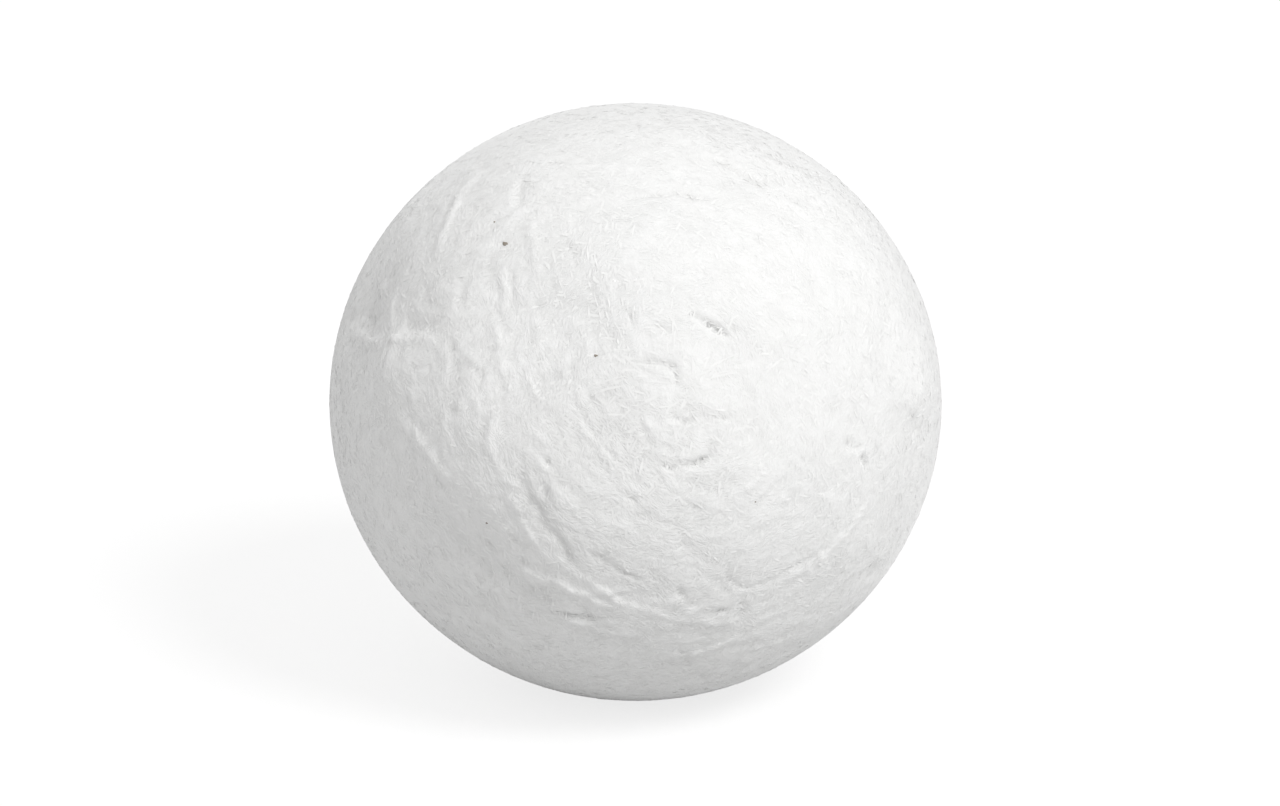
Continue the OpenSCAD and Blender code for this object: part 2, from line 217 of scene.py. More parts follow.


# %% [markdown]
# ## The face's own forms
# Some forms make this ball this ball: the deep crease at the lower left with the ridge beside
# it, the tuft's lip at the left, the slit and the hook by the whorl. They are drawn one by one.
# Each is a route on the face, with a height and a half-width in mm; a crease has a negative
# height. A lip has a steep side and a gentle one, so a line may lean. As one walks along its
# route, a `lean` above 0 makes the right-hand side steeper, and one below 0 the left-hand side.
# Most routes run down or to the right, so there a lean below 0 turns the steep side to the
# lamp, at the upper right.
#
# The routes give what the eye sees: the lit flank of a ridge, the dark flank of a crease. The
# crest or the bottom itself lies further from the lamp, by up to `flank_share` of the
# half-width, so `off_the_lamp` moves each route there. `lean_share` is how much a lean of 1
# narrows the steep side, and `end_share` is the height that is left at the ends of a line.

# %% Ridges and creases of the face
face_lines = [
    # height, half-width, lean, route
    [-0.17, 0.36, -0.4, [[-6.3, -3.6], [-6.1, -4.6], [-5.8, -5.4], [-5.4, -6.0]]],
    [-0.16, 0.26, 0.0, [[-4.95, -5.1], [-4.95, -6.1]]],
    [-0.23, 0.36, -0.5, [
        [-5.4, -5.6], [-5.2, -6.2], [-4.9, -6.8], [-4.6, -7.4],
        [-4.35, -7.8], [-3.95, -8.3], [-3.6, -8.8], [-3.35, -9.35],
    ]],
    [-0.12, 0.55, -0.4, [[-10.2, 2.6], [-10.1, 1.6], [-10.0, 0.4], [-10.2, -0.9]]],
    [-0.08, 0.26, 0.0, [[-10.45, 3.9], [-10.3, 3.0]]],
    [0.09, 0.34, -0.6, [[-8.0, 0.6], [-7.9, -0.6], [-8.1, -1.8]]],
    [0.11, 0.28, -0.6, [[-8.15, -1.6], [-8.1, -2.4], [-7.8, -3.5], [-7.2, -4.3], [-6.8, -4.8]]],
    [0.10, 0.26, -0.6, [
        [-7.4, -5.1], [-6.7, -5.8], [-6.35, -6.5], [-6.0, -7.2], [-5.6, -7.9], [-5.15, -8.6], [-4.8, -9.1],
    ]],
    [0.14, 0.25, -0.6, [
        [-4.1, -9.1], [-3.3, -9.75], [-2.55, -10.2], [-1.7, -10.7], [-1.0, -11.2], [0.0, -11.6],
        [1.7, -12.1],
    ]],
    [0.19, 0.26, -0.6, [
        [-6.5, -9.45], [-5.8, -9.9], [-4.8, -10.2], [-4.0, -10.5], [-3.3, -10.85], [-2.5, -11.1],
        [-1.1, -11.65],
    ]],
    [-0.22, 0.18, 0.0, [[-4.7, -12.0], [-4.0, -12.15], [-3.2, -12.3], [-2.2, -12.35], [-1.2, -12.25]]],
    [0.10, 0.20, -0.6, [[-4.6, -12.2], [-4.0, -12.45], [-2.6, -12.7], [-1.4, -12.55], [-0.4, -12.6]]],
    [0.34, 0.30, 0.0, [[-9.6, -9.4], [-9.2, -9.9], [-8.7, -10.4], [-8.0, -10.5], [-7.2, -10.3]]],
    [-0.30, 0.42, 0.0, [[-6.1, -10.5], [-4.9, -10.7]]],
    [-0.28, 0.24, 0.0, [[-5.6, -11.2], [-4.8, -11.35]]],
    [-0.18, 0.30, 0.0, [[-6.7, -8.9], [-5.9, -9.3]]],
    [-0.12, 0.90, 0.0, [[-7.8, -9.0], [-5.6, -10.5]]],
    [-0.16, 0.30, 0.0, [[-8.3, -8.0], [-7.9, -8.6]]],
    [-0.14, 0.30, 0.0, [[-6.9, -7.4], [-6.6, -8.1]]],
    [-0.16, 0.32, 0.0, [[-8.9, -9.0], [-8.2, -9.5]]],
    [0.09, 0.26, -0.6, [[-12.7, 0.5], [-12.6, -0.4]]],
    [0.13, 0.28, -0.6, [[-13.4, -0.6], [-12.4, -1.8], [-11.9, -2.7], [-11.3, -3.4], [-10.5, -4.5]]],
    [0.05, 0.28, -0.6, [[-13.9, 0.1], [-13.2, -1.1]]],
    [0.06, 0.20, -0.6, [[-10.8, -1.2], [-10.6, -1.9], [-10.4, -2.7]]],
    [0.26, 0.24, -0.6, [[-15.9, 4.3], [-15.6, 3.8], [-15.3, 3.6], [-14.7, 3.5]]],
    [0.24, 0.22, -0.6, [[-14.3, 3.4], [-13.8, 3.65], [-13.2, 3.7]]],
    [0.10, 0.30, -0.6, [[-13.3, 3.6], [-12.4, 3.8], [-11.6, 3.7]]],
    [0.11, 0.26, -0.6, [[-13.8, 5.9], [-13.8, 4.2]]],
    [-0.18, 0.60, 0.0, [[-15.8, 5.2], [-14.8, 4.9]]],
    [0.12, 0.60, 0.0, [[-14.3, 7.6], [-14.1, 5.8]]],
    [-0.18, 0.40, 0.0, [[-13.2, 5.0], [-12.2, 4.65], [-11.2, 4.5]]],
    [0.06, 0.30, -0.6, [[-10.9, 3.1], [-10.75, 2.4], [-10.7, 1.5]]],
    [0.20, 0.34, -0.6, [[-9.0, 12.8], [-9.8, 11.8], [-10.35, 10.7], [-10.8, 9.6], [-11.0, 8.6]]],
    [-0.17, 0.32, 0.0, [[-6.4, 12.6], [-6.5, 11.3]]],
    [-0.08, 0.28, 0.0, [[-4.2, 9.1], [-3.2, 8.5]]],
    [-0.08, 0.26, 0.0, [[-2.7, 6.7], [-1.9, 6.0]]],
    [0.13, 0.34, -0.6, [[-5.6, 10.4], [-5.5, 9.1], [-5.5, 7.2]]],
    [0.11, 0.28, -0.6, [[-7.5, 7.6], [-7.3, 6.1], [-7.4, 5.1]]],
    [0.09, 0.24, -0.6, [[-8.2, 5.0], [-7.8, 4.4], [-7.7, 3.0]]],
    [0.10, 0.24, -0.6, [[-5.7, 5.0], [-5.5, 3.8], [-5.3, 2.9]]],
    [0.08, 0.24, -0.6, [[-6.0, 1.8], [-5.7, 0.9], [-5.3, 0.1]]],
    [0.07, 0.22, -0.6, [[-4.2, 2.5], [-4.05, 1.5], [-3.8, 0.7]]],
    [0.08, 0.25, -0.6, [[-5.95, -1.55], [-5.55, -1.95], [-4.9, -2.3]]],
    [0.07, 0.22, -0.6, [[-3.1, -0.8], [-2.7, -1.6], [-2.2, -2.1]]],
    [-0.07, 0.20, 0.0, [[-2.5, 0.4], [-2.1, -0.2], [-1.9, -0.7]]],
    [-0.08, 0.18, 0.0, [[-3.5, 0.4], [-2.9, -0.8], [-2.3, -1.7], [-1.6, -2.6], [-0.8, -3.4], [0.2, -3.9]]],
    [-0.20, 0.20, 0.0, [[-5.05, -3.35], [-4.85, -3.6]]],
    [-0.26, 0.24, 0.0, [[4.6, 14.0], [5.5, 13.6], [6.5, 13.0], [7.4, 12.4]]],
    [-0.22, 0.22, 0.0, [[0.2, 11.75], [1.6, 11.9], [2.8, 11.9], [4.1, 11.8]]],
    [-0.16, 0.18, 0.0, [[3.2, 5.15], [3.6, 4.95], [4.05, 4.65]]],
    [-0.55, 0.20, 0.0, [[4.0, 4.5], [4.5, 4.35], [5.3, 4.0]]],
    [-0.16, 0.20, 0.0, [[5.6, 4.35], [6.0, 4.2]]],
    [-0.20, 0.19, 0.0, [[0.2, 2.3], [0.8, 2.4], [1.4, 2.35], [2.0, 2.15]]],
    [-0.20, 0.22, 0.0, [[1.9, 2.25], [2.35, 1.95], [2.45, 1.5]]],
    [-0.10, 0.18, 0.0, [[2.4, 1.5], [2.45, 0.9]]],
    [-0.10, 0.18, 0.0, [[-0.1, 2.05], [0.5, 1.85], [1.2, 1.6]]],
    [-0.10, 0.19, 0.0, [[-0.1, 5.0], [-0.35, 4.3]]],
    [-0.14, 0.18, 0.0, [[1.3, 4.5], [1.7, 4.35], [2.0, 4.0]]],
    [-0.10, 0.18, 0.0, [[-0.95, 7.2], [-0.9, 6.3], [-0.8, 5.4]]],
    [-0.08, 0.20, 0.0, [[1.6, -2.2], [2.1, -2.6], [2.6, -3.0]]],
    [-0.10, 0.40, 0.0, [[2.7, -0.1], [3.3, -0.6], [4.2, -0.55]]],
    [-0.12, 0.18, 0.0, [[2.2, -0.9], [3.1, -1.1]]],
    [-0.08, 0.18, 0.0, [[4.2, -0.75], [5.6, -0.85]]],
    [-0.16, 0.20, 0.0, [[1.4, -3.5], [2.1, -3.6], [3.1, -3.5]]],
    [-0.40, 0.22, 0.0, [[3.2, -3.7], [3.6, -3.6], [3.9, -3.2]]],
    [-0.14, 0.22, 0.0, [[3.9, -3.3], [4.3, -3.0], [4.5, -2.3]]],
    [-0.05, 0.17, 0.0, [[0.35, -1.1], [0.5, -1.8], [0.85, -2.4]]],
    [-0.20, 0.20, 0.0, [[12.1, -2.2], [12.6, -2.45], [13.0, -2.5]]],
    [-0.36, 0.20, 0.0, [[13.1, -3.1], [13.4, -3.8]]],
    [-0.10, 0.18, 0.0, [
        [5.6, -8.6], [5.3, -9.1], [5.25, -9.6], [5.35, -10.0], [5.6, -10.35], [6.1, -10.6], [6.8, -10.55],
        [7.6, -10.25], [8.8, -9.65], [9.7, -9.1], [10.9, -8.3],
    ]],
    [-0.07, 0.18, 0.0, [[4.7, -9.8], [5.05, -10.3], [5.6, -10.75]]],
    [0.10, 0.32, -0.6, [[8.4, -10.3], [9.9, -9.6], [11.2, -8.4], [12.4, -7.0], [13.4, -5.5]]],
    [-0.18, 0.22, 0.0, [[4.6, -11.9], [5.1, -11.85]]],
    [-0.15, 0.22, 0.0, [[2.5, -10.7], [2.8, -11.1]]],
    [0.07, 0.30, -0.6, [[3.4, -12.4], [5.3, -12.5]]],
    [-0.14, 0.30, 0.0, [[6.3, -11.3], [6.0, -12.3]]],
    [0.19, 0.22, -0.6, [[2.4, -14.4], [3.4, -14.3], [4.5, -14.0], [5.9, -13.4]]],
    [-0.15, 0.22, 0.0, [[-2.5, -8.6], [-1.6, -9.1], [-0.6, -9.7], [0.3, -10.1]]],
    [-0.10, 0.28, 0.0, [[14.3, 7.5], [14.2, 2.9]]],
    [-0.06, 0.28, 0.0, [[8.0, 3.3], [8.5, 1.5]]],
    [-0.08, 0.18, 0.0, [[6.7, 0.6], [6.9, 0.1]]],
    [-0.08, 0.20, 0.0, [[6.85, -1.3], [6.7, -2.1]]],
    [-0.16, 0.80, 0.0, [[15.4, -0.6], [16.4, -0.9]]],
    [-0.06, 0.40, 0.0, [[13.3, -9.0], [13.6, -9.7]]],
    [-0.10, 0.26, 0.0, [[1.6, -6.75], [2.5, -6.95]]],
    [-0.22, 0.20, 0.0, [[-0.35, -5.35], [-0.05, -5.65]]],
    [0.14, 0.16, 0.0, [[8.55, -5.3], [8.75, -5.65]]],
    [0.12, 0.15, 0.0, [[6.3, -4.95], [6.5, -5.05]]],
]

# %% Helpers for the lines
lamp_side = np.array([0.67, 0.74])
flank_share = 0.7
lean_share = 0.6
end_share = 0.35


def off_the_lamp(half, lean, flank):
    """The route of a crest or a bottom, from the route of its lit or dark flank."""
    route = np.array(flank, float)
    run = route[-1] - route[0]
    across = np.array([-run[1], run[0]]) / np.linalg.norm(run)
    return route - flank_share * half * (1 - lean_share * abs(lean)) * (across @ lamp_side) * across


def line_rise(points, tall, half, lean, route):
    """What one ridge or crease adds at these points: full in its middle, fading to its ends."""
    steps = np.diff(route, axis=0)
    run = np.concatenate([[0], np.cumsum(np.linalg.norm(steps, axis=1))])
    gap, place, side = (np.full(len(points), v) for v in (9e9, 0.0, 0.0))
    for k, step in enumerate(steps):
        share = np.clip((points - route[k]) @ step / (step @ step), 0, 1)
        off = points - route[k] - share[:, None] * step
        here = np.linalg.norm(off, axis=1)
        right = np.cross(step, route[k]) / np.linalg.norm(step) / mean_r
        nearer = here < gap
        gap = np.where(nearer, here, gap)
        place = np.where(nearer, run[k] + share * (run[k + 1] - run[k]), place)
        side = np.where(nearer, np.sign(off @ right), side)
    width_here = half * (1 - lean_share * lean * side)
    inside = 1 - np.abs(2 * place / run[-1] - 1) ** 5
    return tall * bell(gap / width_here) * (end_share + (1 - end_share) * inside)


# %% Bulges and hollows
bulge_height = 0.3
face_bulges = [
    # share of the full height, radius and place, in thousandths of the width
    [-2.4, 100, [-440, 150]], [-1.0, 60, [-350, 150]], [-0.6, 40, [-375, 105]],
    [-3.0, 110, [-260, -275]], [-0.6, 60, [-220, -180]], [-2.5, 110, [-175, 125]],
    [-0.5, 40, [-160, -190]], [-0.5, 60, [-90, 150]], [-0.9, 90, [-80, -50]],
    [-0.6, 70, [-70, -290]], [-0.5, 40, [10, -310]], [-0.8, 110, [20, -440]],
    [-1.0, 50, [130, 90]], [-1.1, 110, [150, 380]], [-1.1, 110, [250, 60]],
    [-0.5, 50, [250, -150]], [-0.7, 40, [450, -30]],
    [0.7, 50, [-380, 50]], [0.5, 50, [-260, -30]], [0.6, 50, [-240, -160]],
    [0.8, 95, [-270, 300]], [0.7, 90, [-210, 100]], [0.8, 110, [-170, 380]], [0.5, 110, [-120, 250]],
    [0.6, 120, [60, 160]], [0.6, 70, [140, -180]], [0.7, 50, [170, -110]],
    [0.7, 110, [290, -170]], [0.9, 70, [340, -240]], [1.7, 70, [450, 10]],
]
swell_count = 26
swell_radius = 0.32 * mean_r
golden_turn = 137.5
print(len(face_lines), "ridges and creases,", len(face_bulges), "bulges and hollows")

# %% [markdown]
# ## How loose the surface is
# The wad isn't equally loose all over. Its upper right side and its lower left edge were drawn
# smooth between the fingers, and the flat spot is pressed level. `loose` says how much texture
# each point carries: 1 on plain cotton, less on a smooth patch, and a little more where the wad
# was picked at. `sway` says how far the fibres stray from the winding there, in radians, so that
# neighbours sway together. The wisps, the grain and the loose fibres all read these two. `rim`
# is 0 on the flat spot and rises to 1 round it.

# %% Looseness and sway
directions = on_winding(away, turn)
ball = directions * mean_r
smooth_patches = [
    # share of the texture that is gone (below 0, what is added), radius, place
    [0.76, 9.5, [8.2, 8.8]], [0.50, 4.5, [-14.0, -8.0]], [0.40, 3.5, [14.8, 2.0]],
    [0.50, 2.4, [6.9, -9.0]], [0.40, 3.0, [5.2, 1.6]], [-0.35, 8.0, [-7.0, 7.0]],
    [-0.10, 5.0, [0.0, -1.0]], [0.22, 4.5, [-12.0, 0.5]], [-0.12, 6.0, [0.0, -13.0]],
]
loose = np.ones(len(ball))
for share, radius, place in smooth_patches:
    loose *= 1 - share * bell(np.linalg.norm(ball - on_face(place), axis=1) / radius)


def sway_at(places):
    """How far the fibres at these places stray from the winding, in radians."""
    return 0.42 * soft_noise(places, 5.5, 4) + 0.20 * soft_noise(places, 2.2, 7)


sway = sway_at(ball)
below = np.arccos(np.clip(-directions[:, 2], -1, 1)) * mean_r
rim = np.clip((below - rest_flat_d / 2) / rest_flat_d, 0, 1)
rim = rim * rim * (3 - 2 * rim)
print(f"looseness from {loose.min():.2f} to {loose.max():.2f}, sway up to {np.abs(sway).max():.2f} radians")

# %% [markdown]
# ## Wisps
# The rest of the relief is the winding itself. A lip is a wisp's edge: it rises gently on the
# side of the whorl and drops steeply on the other. Between the lips lies the grain, thousands
# of strands from two millimetres down to less than half a millimetre wide, some proud and some
# sunk. Both are drawn the same way: a seeded generator picks a place, and only the block of
# points round it is moved. By the whorl the wisps lie every way, so there they stray more.

# %% Draw the wisps
wisp_rng = np.random.default_rng(5)
ring_sizes = np.array(ring_points)
whorl_r = 4.0
whorl_stray = 2.5


def block_round(at_away, at_turn, across, along):
    """The points within across and along mm of a place, as indices."""
    first, last = np.searchsorted(ring_away, [at_away - across / mean_r, at_away + across / mean_r])
    found = []
    for count in set(ring_points[first:last]):
        rings = first + np.flatnonzero(ring_sizes[first:last] == count)
        half = math.ceil(along * count / (2 * math.pi * mean_r * max(math.sin(at_away), 0.03)))
        steps = np.arange(count) if 2 * half + 1 >= count else np.arange(-half, half + 1)
        columns = (round(at_turn * count / (2 * math.pi)) + steps) % count
        found.append((ring_start[rings][:, None] + columns).ravel())
    return np.concatenate(found) if found else np.zeros(0, int)


def add_wisps(rise, count, width_mm, length_mm, lip_mm, slant_deg, lips):
    """Adds count wisps to rise, as lips or as grain. The sizes are (least, most), and most are small."""
    for _ in range(count):
        at_away = math.acos(wisp_rng.uniform(-1, 1))
        at_turn = wisp_rng.uniform(0, 2 * math.pi)
        wide, long, tall = wisp_rng.random(3) ** [1.5, 2, 1.5]
        half = np.interp(wide, [0, 1], width_mm) / 2
        long = np.interp(long, [0, 1], length_mm) / 2
        tall = np.interp(tall, [0, 1], lip_mm) * (1 if lips else wisp_rng.choice([-1, 1]))
        wild = 1 + whorl_stray * bell(mean_r * math.sin(at_away) / whorl_r) * (at_away < 1)
        stray, bend = wisp_rng.normal(0, [math.radians(slant_deg) * wild, 0.02])
        slant = stray + float(sway_at(on_winding(at_away, at_turn) * mean_r))
        across = 2.2 * half + 1.4 * long * abs(math.sin(slant))
        near = block_round(at_away, at_turn, across, 1.4 * long)
        lag = (turn[near] - at_turn + math.pi) % (2 * math.pi) - math.pi
        x = mean_r * math.sin(at_away) * lag
        y = mean_r * (away[near] - at_away)
        along = x * math.cos(slant) + y * math.sin(slant)
        s = (y * math.cos(slant) - x * math.sin(slant) - bend * along**2) / half
        if lips:
            shape = np.where(s < 0, bell(s / 1.5), bell(s / 0.55)) - 0.45 * bell((s - 1) / 0.6)
        else:
            shape = (1 - s * s) * bell(s * 0.9)
        rise[near] += tall * shape * bell((along / long) ** 2)


# %% [markdown]
# ## Broad forms, then lines
# Bulges and hollows come first: those of the face, and low swells and dips by turns, which lie
# evenly all over the ball, because each is a golden angle round from the last. Where the ball
# is seen edge-on it is drawn tight, so all relief is damped along that belt, as in the solid,
# and on the flat spot too. A hollow near the edge draws its whole neighbourhood inwards by more
# than half a millimetre. `moved` is how far each place then seems to have moved, and a route is
# set back by that before it is drawn.
#
# No ridge or crease of cotton looks ruled. So `stray` moves the places a line is measured from,
# by up to about its half-width, and `broken` makes its height uneven.

# %% Raise the broad forms
edge_on = ball @ face_out - mean_r**2 / eye_away


def off_belt(share, half_width):
    """1 away from the edge-on belt, and less by share in the middle of it."""
    return 1 - share * bell(edge_on / half_width)


calm = off_belt(0.85, 2.6) * rim
forms = np.zeros(len(ball))
for share, radius, place in face_bulges:
    gap = np.linalg.norm(ball - on_plan(place), axis=1)
    forms += share * bulge_height * bell(gap / (radius * width / 1000))
for n in range(swell_count):
    up = 1 - 2 * (n + 0.5) / swell_count
    around = math.radians(golden_turn * n)
    level = math.sqrt(1 - up * up)
    centre = mean_r * np.array([level * math.cos(around), level * math.sin(around), up])
    forms += (n % 2 - 0.5) * bulge_height * bell(np.linalg.norm(ball - centre, axis=1) / swell_radius)


def swollen(rise):
    """The ball's points, in mm, raised by rise."""
    return directions * half_axes * (1 + calm * rise / mean_r)[:, None] + middle


moved = as_seen(swollen(forms)) - as_seen(swollen(0 * forms))
print(f"broad forms move what is seen by up to {np.abs(moved[edge_on > 0]).max():.2f} mm")

# %% Draw the face's lines
stray = np.stack([soft_noise(ball, 1.3, k) for k in (0, 3, 6)], 1) * 0.70
stray += np.stack([soft_noise(ball, 0.5, k) for k in (1, 4, 7)], 1) * 0.44
lines = np.zeros(len(ball))
for tall, half, lean, flank in face_lines:
    wanted = off_the_lamp(half, lean, flank)
    nearest = [np.argmin(np.linalg.norm(ball - place, axis=1)) for place in on_face(wanted)]
    route = on_face(wanted - moved[nearest])
    centre = (route[0] + route[-1]) / 2
    reach = np.linalg.norm(route - centre, axis=1).max() + 3 * half + 0.5
    near = np.flatnonzero(np.linalg.norm(ball - centre, axis=1) < reach)
    broken = 0.95 + 0.35 * soft_noise(ball[near], 0.9, 2) + 0.20 * soft_noise(ball[near], 0.42, 6)
    lines[near] += broken * line_rise(ball[near] + half * stray[near], tall, half, lean, route)
print(f"lines from {lines.min():.2f} to {lines.max():.2f} mm")

# %% [markdown]
# ## The wad
# Now the winding is laid on: lips, grain and a little noise, scaled by `loose` and fading along
# the edge-on belt. The face's own forms stay whole. What would lie below the bench is pressed
# level, and the wad is fitted to the solid's box.

# %% Raise the winding
texture = np.zeros(len(ball))
# how many; then width, length and height in mm, each (least, most); then the stray in degrees
add_wisps(texture, 420, (0.40, 0.9), (1.5, 5), (0.016, 0.054), 36, lips=True)
add_wisps(texture, 700, (1.1, 1.9), (1.5, 4.0), (0.015, 0.050), 50, lips=False)
add_wisps(texture, 2200, (0.6, 1.3), (1.0, 2.6), (0.010, 0.040), 50, lips=False)
add_wisps(texture, 18000, (0.40, 0.60), (0.50, 1.6), (0.006, 0.021), 44, lips=False)
texture += 0.015 * soft_noise(ball, 0.8, 5) + 0.015 * soft_noise(ball, 1.9, 8)
texture *= loose * off_belt(0.55, 6.0)
rise = forms + lines + texture
print(f"relief from {rise.min():.2f} to {rise.max():.2f} mm, texture {texture.std():.3f} mm")

# %% Shape the wad
wad_points = swollen(rise)
wad_points[:, 2] = np.maximum(wad_points[:, 2], 0)
for k in range(3):
    have = np.array([wad_points[:, k].min(), wad_points[:, k].max()])
    want = np.array([low[k], high[k]]) / MM
    wad_points[:, k] = np.interp(wad_points[:, k], have, want)


def mesh_piece(name, points_mm, faces, material=None):
    """A mesh object at the origin, with its place in its points, smooth all over."""
    mesh = bpy.data.meshes.new(name)
    mesh.from_pydata((np.asarray(points_mm) * MM).tolist(), [], faces)
    mesh.polygons.foreach_set("use_smooth", np.ones(len(mesh.polygons), bool))
    piece = bpy.data.objects.new(name, mesh)
    bpy.context.scene.collection.objects.link(piece)
    if material:
        mesh.materials.append(material)
    return piece


wound_cotton = mesh_piece("wound_cotton", wad_points, sewn_rings())
wound_cotton.data.calc_loop_triangles()
print("wound_cotton:", len(wound_cotton.data.loop_triangles), "triangles")

# %% [markdown]
# ## What the wad's points know
# The cotton's colour and its loose fibres follow the winding, and neither can see how the wad
# was made. So each point of the mesh carries four attributes. `winding` is its place in mm for
# a pattern, with the way from the whorl as the third number, bent by noise: a pattern that is
# squeezed along that one lies along the winding. The second, kept for painted light and shade,
# is 0.5 on plain cotton, more where a line or a wisp stands out and less where it sinks in: the
# colour greys the creases with it, which is painted shade, and pales what stands out, which is
# painted light. `sway` is as above, and `loose` now says how many loose fibres lie there, from
# 0 to 1: few along the edge-on belt, where they would crowd each other in the eye, and none on
# the flat spot.

# %% Give the wad its attributes
line_span = 0.36
texture_span = 0.25
warp = 1.3 * soft_noise(ball, 3.1, 2) + 0.5 * soft_noise(ball, 1.2, 5) + 0.2 * soft_noise(ball, 0.6, 1)
winding = np.stack([
    mean_r * np.sin(away) * np.cos(turn), mean_r * np.sin(away) * np.sin(turn), mean_r * away + warp
], 1)
# Painted light and shade in the colour: 0.5 on plain cotton, more on a standing line or wisp, less in a
# crease.
painted_light_and_shade = np.clip(0.5 + lines / line_span + texture / texture_span, 0, 1)
fibre_share = np.clip(loose, 0, 1) * rim * off_belt(0.9, 4.0)
known = {"winding": winding, "painted_light_and_shade": painted_light_and_shade, "sway": sway, "loose": fibre_share}
for name, values in known.items():
    kind, field = ("FLOAT_VECTOR", "vector") if values.ndim == 2 else ("FLOAT", "value")
    layer = wound_cotton.data.attributes.new(name, kind, "POINT")
    layer.data.foreach_set(field, values.astype(np.float32).ravel())
    print(f"{name}: from {values.min():.2f} to {values.max():.2f}")

# %% [markdown]
# ## Cotton
# The material is bleached cotton wool: cellulose fibres 15 to 20 thousandths of a millimetre
# thick, carded and left loose. The eye sees a matt white that is soft at the edges, because
# light goes half a millimetre or so into the fibres and comes out again, and because the
# outermost fibres catch it at a glance. So the shader is rough and white, with a little
# scattering below the surface and some sheen.
#
# Single fibres are too fine to show, so the pattern is drawn as coarse as it needs to show: in
# strands a fifth of a millimetre wide and twice as long, which vary between two whites. Shade is
# painted into the colour by height: a crease is made a little greyer (painted shade), and what
# stands out a little paler (painted light). Plain cotton stays half way.

# %% Helpers for materials
def linear(hex_colour):
    """A colour written as sRGB hex, as the linear values that Blender mixes."""
    parts = [int(hex_colour[i : i + 2], 16) / 255 for i in (1, 3, 5)]
    return [c / 12.92 if c <= 0.04045 else ((c + 0.055) / 1.055) ** 2.4 for c in parts] + [1]


def add_node(tree, kind, settings=None, inputs=None, links=None):
    """Adds a node, sets its properties and inputs, and links (output socket -> input)."""
    node = tree.nodes.new(kind)
    for key, value in (settings or {}).items():
        setattr(node, key, value)
    for key, value in (inputs or {}).items():
        node.inputs[key].default_value = value
    for key, source in (links or {}).items():
        tree.links.new(source, node.inputs[key])
    return node


def new_material(name):
    """A material with no nodes yet, and its tree."""
    material = bpy.data.materials.new(name)
    material.use_nodes = True
    material.node_tree.nodes.clear()
    return material, material.node_tree


# %% Cotton wool
strands_per_mm = 5.2
strand_depth_mm = 0.09
strand_share = 0.6
light_depth_mm = 0.6
cotton_wool, tree = new_material("cotton_wool")
lay = add_node(tree, "ShaderNodeAttribute", {"attribute_name": "winding"})
stretch = add_node(tree, "ShaderNodeMapping", {"vector_type": "POINT"},
    {"Scale": (strands_per_mm / 2, strands_per_mm / 2, strands_per_mm)}, {"Vector": lay.outputs["Vector"]})
fibres = add_node(tree, "ShaderNodeTexNoise", {}, {"Scale": 1.0, "Detail": 2.5, "Roughness": 0.58},
    {"Vector": stretch.outputs["Vector"]})
# Painted light and shade: the height attribute greys the creases and pales what stands out, on top of the
# fibres' random tone.
height_for_painted_shade = add_node(tree, "ShaderNodeAttribute", {"attribute_name": "painted_light_and_shade"})
raised = add_node(tree, "ShaderNodeMath", {"operation": "ADD"}, {1: -strand_share / 2},
    {0: height_for_painted_shade.outputs["Fac"]})
whiteness_and_painted_shade = add_node(tree, "ShaderNodeMath", {"operation": "MULTIPLY_ADD"}, {1: strand_share},
    {0: fibres.outputs["Fac"], 2: raised.outputs[0]})
tone_and_painted_shade = add_node(tree, "ShaderNodeMix", {"data_type": "RGBA"}, {6: linear("#EEEEED"), 7: linear("#FDFDFC")},
    {0: whiteness_and_painted_shade.outputs[0]})
bump = add_node(tree, "ShaderNodeBump", {}, {"Strength": 1.0, "Distance": strand_depth_mm * MM},
    {"Height": fibres.outputs["Fac"]})
cotton = add_node(tree, "ShaderNodeBsdfPrincipled", {}, {
    "Roughness": 0.95, "IOR": 1.53, "Specular IOR Level": 0.2,
    "Subsurface Weight": 0.25, "Subsurface Radius": (1.0, 1.0, 1.0),
    "Subsurface Scale": light_depth_mm * MM,
    "Sheen Weight": 0.45, "Sheen Roughness": 0.5,
}, {"Base Color": tone_and_painted_shade.outputs[2], "Normal": bump.outputs["Normal"]})
add_node(tree, "ShaderNodeOutputMaterial", {}, {}, {"Surface": cotton.outputs["BSDF"]})
wound_cotton.data.materials.append(cotton_wool)
print(f"cotton_wool: strands {1 / strands_per_mm:.2f} mm wide")

# %% [markdown]
# ## Loose fibres
# A real fibre is too fine to see one by one, but fibres lie in strands of a few dozen, and it
# is the strands that give cotton its grain. Thousands of them follow one rule, so Geometry
# Nodes lays them: points are scattered over the wad, each gets a short curve, and the curve is
# bent along the winding by turning its root round the winding axis. It is then swayed and
# curled a little, set down on the nearest place of the wad, and given a flat section, because
# a cotton fibre is a flat, twisted ribbon. Both ends dip under the surface, as a carded fibre
# goes back into the wad. The tree works in metres, so rates per mm are divided by MM.

# %% Cotton fibre, in two whites
def fibre_white(name, hex_colour):
    """Bleached cotton fibre: cellulose, matt, and so thin that light goes through it."""
    material, tree = new_material(name)
    cotton = add_node(tree, "ShaderNodeBsdfPrincipled", {}, {
        "Base Color": linear(hex_colour), "Roughness": 0.9, "IOR": 1.53, "Specular IOR Level": 0.2,
        "Sheen Weight": 0.45, "Sheen Roughness": 0.5,
    })
    add_node(tree, "ShaderNodeOutputMaterial", {}, {}, {"Surface": cotton.outputs["BSDF"]})
    return material


fibre_warm = fibre_white("cotton_fibre_warm", "#F4F4F3")
fibre_bright = fibre_white("cotton_fibre_bright", "#F8F8F7")

